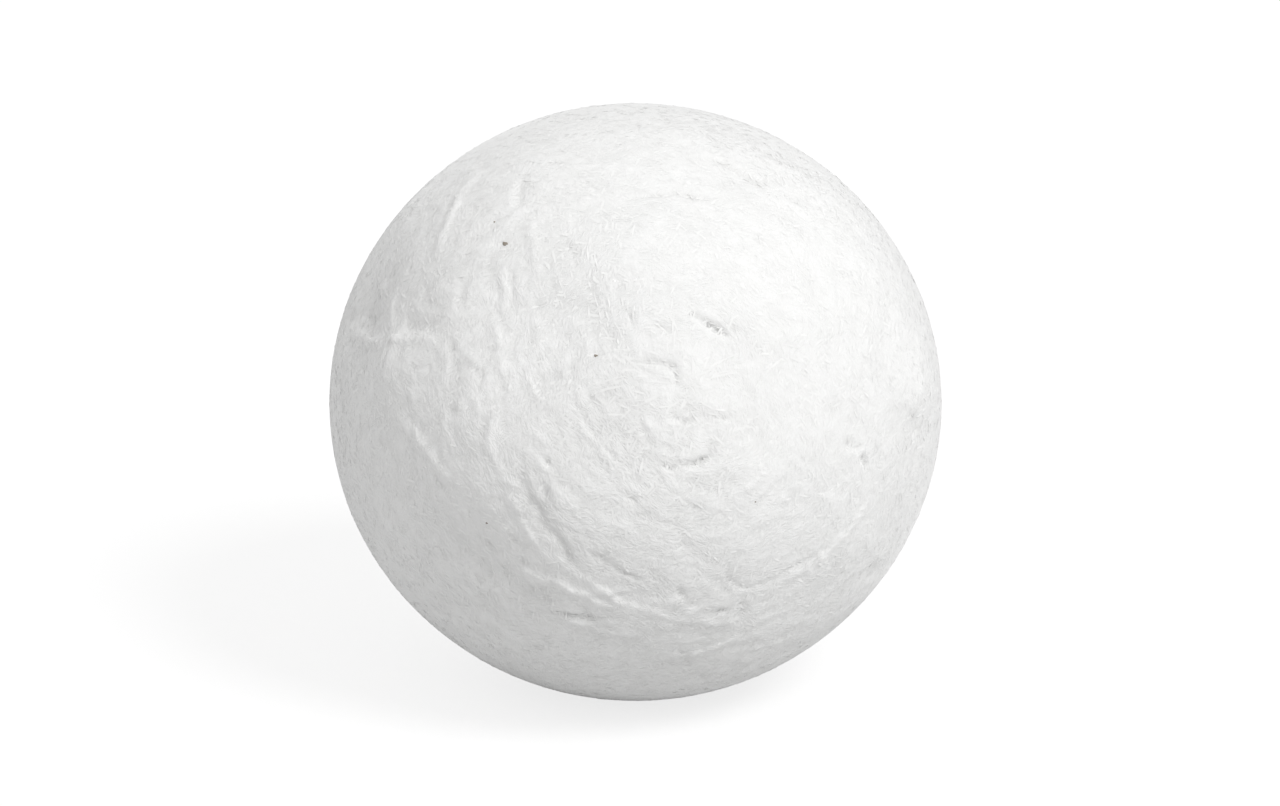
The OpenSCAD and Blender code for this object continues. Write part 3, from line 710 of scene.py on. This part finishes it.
# %% The tree's named inputs
lay_fibres = bpy.data.node_groups.new("lay_fibres", "GeometryNodeTree")
for name, kind in (("Wad", "Geometry"), ("Fibres per square metre", "Float"), ("Seed", "Int"),
                   ("Shortest", "Float"), ("Longest", "Float"), ("Width", "Float"), ("Flatness", "Float"),
                   ("Lift", "Float"), ("Slant", "Float"), ("Curl", "Float"), ("Twist", "Float"),
                   ("Points", "Int"),
                   ("Winding axis", "Vector"), ("Middle", "Vector"), ("Material", "Material")):
    lay_fibres.interface.new_socket(name, in_out="INPUT", socket_type="NodeSocket" + kind)
lay_fibres.interface.new_socket("Fibres", in_out="OUTPUT", socket_type="NodeSocketGeometry")
given = add_node(lay_fibres, "NodeGroupInput").outputs

# %% Scatter the roots, fewer where the wad is smooth, and note how each fibre will differ
looseness = add_node(lay_fibres, "GeometryNodeInputNamedAttribute", {"data_type": "FLOAT"},
    {"Name": "loose"}).outputs[0]
here = add_node(lay_fibres, "ShaderNodeMath", {"operation": "MULTIPLY"}, {},
    {0: looseness, 1: given["Fibres per square metre"]})
roots = add_node(lay_fibres, "GeometryNodeDistributePointsOnFaces", {}, {},
    {"Mesh": given["Wad"], "Density": here.outputs[0], "Seed": given["Seed"]})
place = add_node(lay_fibres, "GeometryNodeInputPosition")
noted = add_node(lay_fibres, "GeometryNodeStoreNamedAttribute",
    {"data_type": "FLOAT_VECTOR", "domain": "POINT"}, {"Name": "root"},
    {"Geometry": roots.outputs["Points"], "Value": place.outputs[0]})
chances = ("long", "slant_a", "slant_b", "lifted", "thick", "start")
for step, name in enumerate(chances):
    number = add_node(lay_fibres, "ShaderNodeMath", {"operation": "ADD"}, {1: 10.0 * step + 1},
        {0: given["Seed"]})
    chance = add_node(lay_fibres, "FunctionNodeRandomValue", {"data_type": "FLOAT"}, {},
        {"Seed": number.outputs[0]})
    noted = add_node(lay_fibres, "GeometryNodeStoreNamedAttribute",
        {"data_type": "FLOAT", "domain": "POINT"},
        {"Name": name}, {"Geometry": noted.outputs[0], "Value": chance.outputs[1]})

# %% A plain curve on every root
line = add_node(lay_fibres, "GeometryNodeCurvePrimitiveLine")
points = add_node(lay_fibres, "GeometryNodeResampleCurve", {"mode": "COUNT"}, {},
    {"Curve": line.outputs[0], "Count": given["Points"]})
many = add_node(lay_fibres, "GeometryNodeInstanceOnPoints", {}, {},
    {"Points": noted.outputs[0], "Instance": points.outputs[0]})
curves = add_node(lay_fibres, "GeometryNodeRealizeInstances", {}, {}, {0: many.outputs[0]})

# %% How far along its fibre each point lies
note = {}
for name in chances + ("sway",):
    note[name] = add_node(lay_fibres, "GeometryNodeInputNamedAttribute", {"data_type": "FLOAT"},
        {"Name": name}).outputs[0]
root = add_node(lay_fibres, "GeometryNodeInputNamedAttribute", {"data_type": "FLOAT_VECTOR"},
    {"Name": "root"}).outputs[0]
arm = add_node(lay_fibres, "ShaderNodeVectorMath", {"operation": "SUBTRACT"}, {},
    {0: root, 1: given["Middle"]})
round_arm = add_node(lay_fibres, "ShaderNodeVectorMath", {"operation": "CROSS_PRODUCT"}, {},
    {0: given["Winding axis"], 1: arm.outputs[0]})
from_axis = add_node(lay_fibres, "ShaderNodeVectorMath", {"operation": "LENGTH"}, {},
    {0: round_arm.outputs[0]})
# The power makes most fibres short, and none reaches more than 1.6 radians round the axis.
mostly_short = add_node(lay_fibres, "ShaderNodeMath", {"operation": "POWER"}, {1: 1.8}, {0: note["long"]})
wanted = add_node(lay_fibres, "ShaderNodeMapRange", {}, {},
    {"Value": mostly_short.outputs[0], "To Min": given["Shortest"], "To Max": given["Longest"]})
most = add_node(lay_fibres, "ShaderNodeMath", {"operation": "MULTIPLY"}, {1: 1.6},
    {0: from_axis.outputs[1]})
length = add_node(lay_fibres, "ShaderNodeMath", {"operation": "MINIMUM"}, {},
    {0: wanted.outputs[0], 1: most.outputs[0]})
share = add_node(lay_fibres, "GeometryNodeSplineParameter").outputs["Factor"]
centred = add_node(lay_fibres, "ShaderNodeMath", {"operation": "SUBTRACT"}, {1: 0.5}, {0: share})
along = add_node(lay_fibres, "ShaderNodeMath", {"operation": "MULTIPLY"}, {},
    {0: centred.outputs[0], 1: length.outputs[0]})

# %% Bend it along the winding
angle = add_node(lay_fibres, "ShaderNodeMath", {"operation": "DIVIDE"}, {},
    {0: along.outputs[0], 1: from_axis.outputs[1]})
turned = add_node(lay_fibres, "ShaderNodeVectorRotate", {"rotation_type": "AXIS_ANGLE"}, {},
    {"Vector": root, "Center": given["Middle"], "Axis": given["Winding axis"], "Angle": angle.outputs[0]})

# %% Slant it with its neighbours, then a little on its own, and curl it
curls_per_mm = 0.7
leaning = add_node(lay_fibres, "ShaderNodeMath", {"operation": "SUBTRACT"}, {},
    {0: note["slant_a"], 1: note["slant_b"]})
at_whorl = add_node(lay_fibres, "ShaderNodeMapRange", {},
    {"From Max": 1.5 * whorl_r * MM, "To Min": 1 + whorl_stray, "To Max": 1.0},
    {"Value": from_axis.outputs[1]})
wilder = add_node(lay_fibres, "ShaderNodeMath", {"operation": "MULTIPLY"}, {},
    {0: leaning.outputs[0], 1: at_whorl.outputs[0]})
slant = add_node(lay_fibres, "ShaderNodeMath", {"operation": "MULTIPLY_ADD"}, {},
    {0: wilder.outputs[0], 1: given["Slant"], 2: note["sway"]})
drift = add_node(lay_fibres, "ShaderNodeMath", {"operation": "MULTIPLY"}, {},
    {0: slant.outputs[0], 1: along.outputs[0]})
# Each fibre reads its own stretch of one long noise, and phase is where that starts.
phase = add_node(lay_fibres, "ShaderNodeMath", {"operation": "MULTIPLY"}, {1: 500.0}, {0: note["start"]})
wave = add_node(lay_fibres, "ShaderNodeMath", {"operation": "MULTIPLY_ADD"}, {1: curls_per_mm / MM},
    {0: along.outputs[0], 2: phase.outputs[0]})
noise = add_node(lay_fibres, "ShaderNodeTexNoise", {"noise_dimensions": "1D"},
    {"Scale": 1.0, "Detail": 1.0},
    {"W": wave.outputs[0]})
swing = add_node(lay_fibres, "ShaderNodeMath", {"operation": "SUBTRACT"}, {1: 0.5}, {0: noise.outputs[0]})
aside = add_node(lay_fibres, "ShaderNodeMath", {"operation": "MULTIPLY_ADD"}, {},
    {0: swing.outputs[0], 1: given["Curl"], 2: drift.outputs[0]})
lean = add_node(lay_fibres, "ShaderNodeMath", {"operation": "DIVIDE"}, {1: mean_r * MM},
    {0: aside.outputs[0]})
new_arm = add_node(lay_fibres, "ShaderNodeVectorMath", {"operation": "SUBTRACT"}, {},
    {0: turned.outputs[0], 1: given["Middle"]})
lay_way = add_node(lay_fibres, "ShaderNodeVectorMath", {"operation": "CROSS_PRODUCT"}, {},
    {0: given["Winding axis"], 1: new_arm.outputs[0]})
leant = add_node(lay_fibres, "ShaderNodeVectorRotate", {"rotation_type": "AXIS_ANGLE"}, {},
    {"Vector": turned.outputs[0], "Center": given["Middle"], "Axis": lay_way.outputs[0],
     "Angle": lean.outputs[0]})

# %% Set it down on the wad, arched between two ends that dip in
# arch is 1 half way along the fibre and 0 at its ends, where arched is 0.6 of the lift under.
nearest = add_node(lay_fibres, "GeometryNodeProximity", {"target_element": "FACES"}, {},
    {0: given["Wad"], "Sample Position": leant.outputs[0]})
outward = add_node(lay_fibres, "ShaderNodeVectorMath", {"operation": "SUBTRACT"}, {},
    {0: nearest.outputs[0], 1: given["Middle"]})
outward = add_node(lay_fibres, "ShaderNodeVectorMath", {"operation": "NORMALIZE"}, {},
    {0: outward.outputs[0]})
squared = add_node(lay_fibres, "ShaderNodeMath", {"operation": "MULTIPLY"}, {},
    {0: centred.outputs[0], 1: centred.outputs[0]})
arch = add_node(lay_fibres, "ShaderNodeMath", {"operation": "MULTIPLY_ADD"}, {1: -4.0, 2: 1.0},
    {0: squared.outputs[0]})
raised = add_node(lay_fibres, "ShaderNodeMath", {"operation": "MULTIPLY"}, {},
    {0: given["Lift"], 1: note["lifted"]})
arched = add_node(lay_fibres, "ShaderNodeMath", {"operation": "MULTIPLY_ADD"}, {1: 1.6, 2: -0.6},
    {0: arch.outputs[0]})
climb = add_node(lay_fibres, "ShaderNodeMath", {"operation": "MULTIPLY"}, {},
    {0: arched.outputs[0], 1: raised.outputs[0]})
offset = add_node(lay_fibres, "ShaderNodeVectorMath", {"operation": "SCALE"}, {},
    {0: outward.outputs[0], "Scale": climb.outputs[0]})
laid = add_node(lay_fibres, "GeometryNodeSetPosition", {}, {},
    {"Geometry": curves.outputs[0], "Position": nearest.outputs[0], "Offset": offset.outputs[0]})

# %% Twist it about its own run
# The noise seldom leaves 0.2 to 0.8, so that range is stretched to the whole twist, both ways.
twists_per_mm = 0.9
twist_place = add_node(lay_fibres, "ShaderNodeMath", {"operation": "MULTIPLY_ADD"},
    {1: twists_per_mm / MM}, {0: along.outputs[0], 2: phase.outputs[0]})
twist_noise = add_node(lay_fibres, "ShaderNodeTexNoise", {"noise_dimensions": "1D"},
    {"Scale": 1.0, "Detail": 0.0},
    {"W": twist_place.outputs[0]})
other_way = add_node(lay_fibres, "ShaderNodeMath", {"operation": "MULTIPLY"}, {1: -1.0},
    {0: given["Twist"]})
twist = add_node(lay_fibres, "ShaderNodeMapRange", {}, {"From Min": 0.2, "From Max": 0.8},
    {"Value": twist_noise.outputs[0], "To Min": other_way.outputs[0], "To Max": given["Twist"]})
tangent = add_node(lay_fibres, "GeometryNodeInputTangent")
rolled = add_node(lay_fibres, "ShaderNodeVectorRotate", {"rotation_type": "AXIS_ANGLE"}, {},
    {"Vector": outward.outputs[0], "Axis": tangent.outputs[0], "Angle": twist.outputs[0]})
upright = add_node(lay_fibres, "GeometryNodeSetCurveNormal", {"mode": "FREE"}, {},
    {"Curve": laid.outputs[0], "Normal": rolled.outputs[0]})

# %% Give it a flat section that thins to both ends
# The section is a triangle with sides of about 1, and Flatness squashes it.
taper = add_node(lay_fibres, "ShaderNodeMath", {"operation": "MULTIPLY_ADD"}, {1: 0.75, 2: 0.25},
    {0: arch.outputs[0]})
varied = add_node(lay_fibres, "ShaderNodeMath", {"operation": "MULTIPLY_ADD"}, {1: 0.8, 2: 0.6},
    {0: note["thick"]})
radius = add_node(lay_fibres, "ShaderNodeMath", {"operation": "MULTIPLY"}, {},
    {0: taper.outputs[0], 1: varied.outputs[0]})
radius = add_node(lay_fibres, "ShaderNodeMath", {"operation": "MULTIPLY"}, {},
    {0: radius.outputs[0], 1: given["Width"]})
circle = add_node(lay_fibres, "GeometryNodeCurvePrimitiveCircle", {"mode": "RADIUS"},
    {"Resolution": 3, "Radius": 0.577})
squash = add_node(lay_fibres, "ShaderNodeCombineXYZ", {}, {"Y": 1.0, "Z": 1.0}, {"X": given["Flatness"]})
section = add_node(lay_fibres, "GeometryNodeTransform", {}, {"Rotation": (0, 0, math.pi)},
    {"Geometry": circle.outputs[0], "Scale": squash.outputs[0]})
solid = add_node(lay_fibres, "GeometryNodeCurveToMesh", {}, {"Fill Caps": True},
    {"Curve": upright.outputs[0], "Profile Curve": section.outputs[0], "Scale": radius.outputs[0]})
plain = add_node(lay_fibres, "GeometryNodeSetShadeSmooth", {}, {"Shade Smooth": False},
    {0: solid.outputs[0]})
whole = add_node(lay_fibres, "GeometryNodeRealizeInstances", {}, {}, {0: plain.outputs[0]})
dressed = add_node(lay_fibres, "GeometryNodeSetMaterial", {}, {},
    {"Geometry": whole.outputs[0], "Material": given["Material"]})
add_node(lay_fibres, "NodeGroupOutput", {}, {}, {0: dressed.outputs[0]})
print("lay_fibres:", len(lay_fibres.nodes), "nodes")

# %% [markdown]
# ## Sorts of fibre
# Carded cotton holds fine strands that lie along the winding and broader ones that lie every
# way. So there are four sorts, in two whites: one long and fine, and three that get shorter,
# broader and more crossed. The carrier is a copy of the wad that wears the tree as a modifier.
# Its result is kept as a plain mesh and the carrier is removed, so each sort ends as one
# ordinary piece.

# %% Lay several sorts of fibre
looseness_at = wound_cotton.data.attributes["loose"].data
loose_area = sum(face.area * sum(looseness_at[v].value for v in face.vertices) / len(face.vertices)
                 for face in wound_cotton.data.polygons)
lift_mm = 0.008
twist_deg = 10


def laid_fibres(name, count, seed, material, length_mm, width_mm, slant, curl_mm, flatness, points):
    """Makes one piece of about count fibres, laid on the wad by the tree."""
    carrier = bpy.data.objects.new("carrier", wound_cotton.data)
    bpy.context.scene.collection.objects.link(carrier)
    tool = carrier.modifiers.new("fibres", "NODES")
    tool.node_group = lay_fibres
    chosen = {
        "Fibres per square metre": count / loose_area, "Seed": seed, "Material": material,
        "Shortest": length_mm[0] * MM, "Longest": length_mm[1] * MM, "Width": width_mm * MM,
        "Flatness": flatness, "Lift": lift_mm * MM, "Slant": slant, "Curl": curl_mm * MM,
        "Twist": math.radians(twist_deg), "Points": points,
        "Winding axis": whorl_out.tolist(), "Middle": (middle * MM).tolist(),
    }
    for socket in lay_fibres.interface.items_tree:
        if socket.name in chosen:
            tool[socket.identifier] = chosen[socket.name]
    carrier.update_tag()
    bpy.context.view_layer.update()
    mesh = bpy.data.meshes.new_from_object(carrier.evaluated_get(bpy.context.evaluated_depsgraph_get()))
    bpy.data.objects.remove(carrier)
    for key in ("root",) + tuple(known) + chances:
        if key in mesh.attributes:
            mesh.attributes.remove(mesh.attributes[key])
    mesh.name = name
    piece = bpy.data.objects.new(name, mesh)
    bpy.context.scene.collection.objects.link(piece)
    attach(piece, "root")
    mesh.calc_loop_triangles()
    print(f"{name}: {len(mesh.loop_triangles)} triangles, {piece.dimensions.z / MM:.2f} mm high")


sorts = [
    # name, count, seed, white, length (least, most), width, slant, curl, flatness, points;
    # length, width and curl in mm, slant in radians, and flatness as thickness over width
    ["carded_strands_a", 5500, 3, fibre_warm, (0.4, 0.9), 0.055, 1.3, 0.80, 0.26, 5],
    ["carded_strands_b", 9300, 4, fibre_bright, (0.20, 0.60), 0.10, 1.8, 0.40, 0.19, 4],
    ["carded_strands_c", 9300, 6, fibre_warm, (0.20, 0.50), 0.12, 2.2, 0.40, 0.17, 4],
    ["carded_strands_d", 9300, 8, fibre_bright, (0.20, 0.45), 0.13, 2.8, 0.40, 0.16, 4],
]
for sort in sorts:
    laid_fibres(*sort)

# %% [markdown]
# ## Flecks of seed coat
# Ginning leaves a few crumbs of the seed's coat in the cotton, one to three tenths of a
# millimetre wide. The coat is dark brown, but a veil of fibres lies over each crumb, so its
# colours here are two greyish browns that are much paler. Each is a lumpy ball, longer than it
# is broad and about half as thick, sunk to its middle. Some lie deeper, and since less of them
# shows, they are made smaller.

# %% Seed coat
mottles_per_mm = 9.0
seed_coat, tree = new_material("seed_coat")
lumps = add_node(tree, "ShaderNodeTexCoord")
mottle = add_node(tree, "ShaderNodeTexNoise", {}, {"Scale": mottles_per_mm / MM, "Detail": 2.0},
    {"Vector": lumps.outputs["Object"]})
shade = add_node(tree, "ShaderNodeMix", {"data_type": "RGBA"}, {6: linear("#857D72"), 7: linear("#A79F94")},
    {0: mottle.outputs["Fac"]})
husk = add_node(tree, "ShaderNodeBsdfPrincipled", {}, {"Roughness": 0.7, "IOR": 1.5},
    {"Base Color": shade.outputs[2]})
add_node(tree, "ShaderNodeOutputMaterial", {}, {}, {"Surface": husk.outputs["BSDF"]})

# %% Set the flecks into the wad
flecks = [
    # width, place
    [0.28, [-7.5, 9.1]], [0.18, [-2.3, 2.6]], [0.13, [-8.5, -7.0]], [0.11, [6.8, -5.7]], [0.11, [-8.1, 10.3]],
]
levels, sides = 6, 12
facing = wad_points[edge_on > 0]
fleck_points, fleck_faces = [], []
for n, (wide, place) in enumerate(flecks):
    at = facing[np.argmin(np.linalg.norm(as_seen(facing) - place, axis=1))]
    out_here = (at - middle) / np.linalg.norm(at - middle)
    side = np.cross([0, 0, 1.0], out_here)
    side /= np.linalg.norm(side)
    top = np.cross(out_here, side)
    start = len(fleck_points)
    for level in range(levels + 1):
        for k in range(sides if 0 < level < levels else 1):
            tilt, spin = math.pi * level / levels, 2 * math.pi * k / sides
            lump = 1 + 0.22 * math.sin(3 * spin + n) * math.sin(tilt) + 0.12 * math.cos(5 * spin + 2 * n)
            flat = wide / 2 * math.sin(tilt) * lump
            fleck_points.append(at + flat * (1.25 * math.cos(spin) * side + 0.85 * math.sin(spin) * top)
                                + 0.28 * wide * math.cos(tilt) * out_here)
    last = start + 1 + sides * (levels - 2)
    for k in range(sides):
        m = (k + 1) % sides
        fleck_faces.append((start, start + 1 + k, start + 1 + m))
        for a in range(start + 1, last, sides):
            fleck_faces.append((a + k, a + sides + k, a + sides + m, a + m))
        fleck_faces.append((last + sides, last + m, last + k))
seed_flecks = mesh_piece("seed_flecks", fleck_points, fleck_faces, seed_coat)
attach(seed_flecks, "root")
print("seed_flecks:", len(flecks))

# %% Say what the wad is to the frame
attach(wound_cotton, "root")
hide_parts("cotton_ball")

# %% [markdown]
# ## Floor, light and camera
# A pale bench top, one soft lamp from the upper right in front, and even light from all
# round. Both light the ball at a plain level. The white of the background is only for the rays
# that look at it: the camera's, and those that a gloss or a glass would send there. To them
# the bench top glows a little short of white and takes the rest from the lamp, so it shows
# white where it is lit and keeps a soft shadow under the ball.

# %% The bench top
floor_size = 6.0
bench_glow = 0.78
floor = mesh_piece("floor", np.array([[-1, -1, 0], [1, -1, 0], [1, 1, 0], [-1, 1, 0]]) * floor_size / 2 / MM,
    [(0, 1, 2, 3)])


def sees_white(tree):
    """1 for the rays that see the white background, 0 for those that carry light to the ball."""
    path = add_node(tree, "ShaderNodeLightPath")
    near = add_node(tree, "ShaderNodeMath", {"operation": "ADD", "use_clamp": True}, {},
        {0: path.outputs["Is Camera Ray"], 1: path.outputs["Is Glossy Ray"]})
    return add_node(tree, "ShaderNodeMath", {"operation": "ADD", "use_clamp": True}, {},
        {0: near.outputs[0], 1: path.outputs["Is Transmission Ray"]}).outputs[0]


bench_top, tree = new_material("bench_top")
seen = sees_white(tree)
grey = add_node(tree, "ShaderNodeMix", {"data_type": "RGBA"}, {6: linear("#D2D2D2"), 7: linear("#8C8C8C")},
    {0: seen})
matt = add_node(tree, "ShaderNodeBsdfDiffuse", {}, {}, {"Color": grey.outputs[2]})
level = add_node(tree, "ShaderNodeMath", {"operation": "MULTIPLY"}, {1: bench_glow}, {0: seen})
glow = add_node(tree, "ShaderNodeEmission", {}, {"Color": (1, 1, 1, 1)}, {"Strength": level.outputs[0]})
both = add_node(tree, "ShaderNodeAddShader", {}, {}, {0: matt.outputs[0], 1: glow.outputs[0]})
add_node(tree, "ShaderNodeOutputMaterial", {}, {}, {"Surface": both.outputs[0]})
floor.data.materials.append(bench_top)
print(f"bench top: {floor_size:.0f} m wide, glow {bench_glow}")

# %% The camera
from mathutils import Vector

right, up, out = (Vector(v) for v in (face_right, face_up, face_out))
ball_middle = Vector(middle * MM)
camera_data = bpy.data.cameras.new("camera")
camera_data.lens = 200
camera_data.clip_start = 0.01
camera = bpy.data.objects.new("camera", camera_data)
bpy.context.scene.collection.objects.link(camera)
camera.location = ball_middle + (out * eye_away + right * 0.26 - up * 0.06) * MM
camera.rotation_mode = "QUATERNION"
camera.rotation_quaternion = (-out).to_track_quat("-Z", "Y")
camera_data.clip_end = 20
bpy.context.scene.camera = camera
print(f"camera: {eye_away:.0f} mm from the ball's middle, {camera_data.lens:.0f} mm lens")

# %% The lamp and the room
room_light = 0.62
key_data = bpy.data.lights.new("key", "SUN")
key_data.energy = 1.56
key_data.angle = math.radians(20)
key = bpy.data.objects.new("key", key_data)
toward_key = right * 0.49 + up * 0.54 + out * 0.69
key.rotation_mode = "QUATERNION"
key.rotation_quaternion = toward_key.to_track_quat("Z", "Y")
bpy.context.scene.collection.objects.link(key)

room = bpy.data.worlds.new("room")
bpy.context.scene.world = room
room.use_nodes = True
tree = room.node_tree
tree.nodes.clear()
strength = add_node(tree, "ShaderNodeMapRange", {}, {"To Min": room_light, "To Max": 1.0},
    {"Value": sees_white(tree)})
sky = add_node(tree, "ShaderNodeBackground", {}, {"Color": (1, 1, 1, 1)}, {"Strength": strength.outputs[0]})
add_node(tree, "ShaderNodeOutputWorld", {}, {}, {"Surface": sky.outputs[0]})
bpy.context.scene.view_settings.view_transform = "Standard"
print(f"lamp {key_data.energy:.2f}, room {room_light}")
